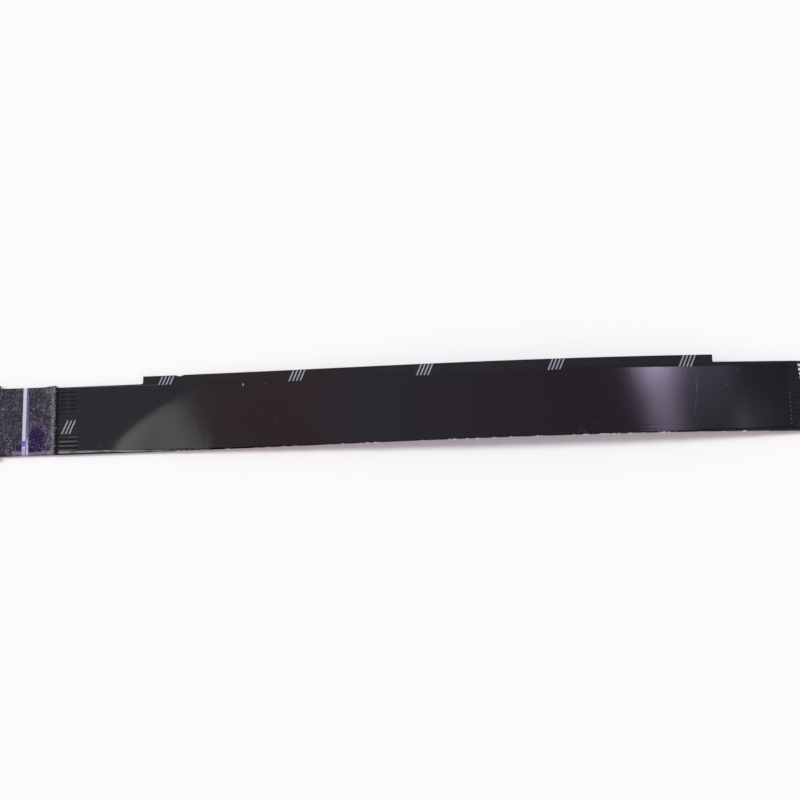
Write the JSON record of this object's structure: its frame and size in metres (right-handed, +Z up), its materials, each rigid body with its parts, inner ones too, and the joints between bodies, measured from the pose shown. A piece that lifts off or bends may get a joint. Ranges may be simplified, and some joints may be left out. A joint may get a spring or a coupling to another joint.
{
  "type": "flat flex cable",
  "caption": "Flat flex cable with embossed black films over flat conductors, a glossy cover strip, a narrow side tab, a cloth sleeve on its eared end and bare contacts at both ends.",
  "frame": {"origin": "middle of the base, on the surface that the cable lies on", "axes": "+X along the cable from the cloth-wrapped end to the plain end, +Y across it towards the tab, +Z up"},
  "size_m": [0.1, 0.0092, 0.0019],
  "materials": {
    "base_film": "black polyester film, satin",
    "printed_film": "black polyester film, matte, pressed over the conductors",
    "gloss_film": "black polyester film, glossy, with hairline scratches",
    "cloth": "metal-plated woven cloth, dark grey, frayed at its edge",
    "stiffener": "polyester backing strip, satin",
    "tinned_copper": "tin-plated copper, bright satin"
  },
  "bodies": {
    "root": {"lower_film": "base_film", "upper_film": "printed_film", "gloss_film": "gloss_film", "cloth_sleeve": "cloth", "left_stiffener": "stiffener", "right_stiffener": "stiffener", "conductor_01": "tinned_copper", "conductor_02": "tinned_copper", "conductor_03": "tinned_copper", "conductor_04": "tinned_copper", "conductor_05": "tinned_copper", "conductor_06": "tinned_copper", "conductor_07": "tinned_copper", "conductor_08": "tinned_copper", "conductor_09": "tinned_copper", "conductor_10": "tinned_copper", "conductor_11": "tinned_copper", "conductor_12": "tinned_copper", "conductor_13": "tinned_copper", "conductor_14": "tinned_copper", "conductor_15": "tinned_copper"}
  },
  "joints": []
}
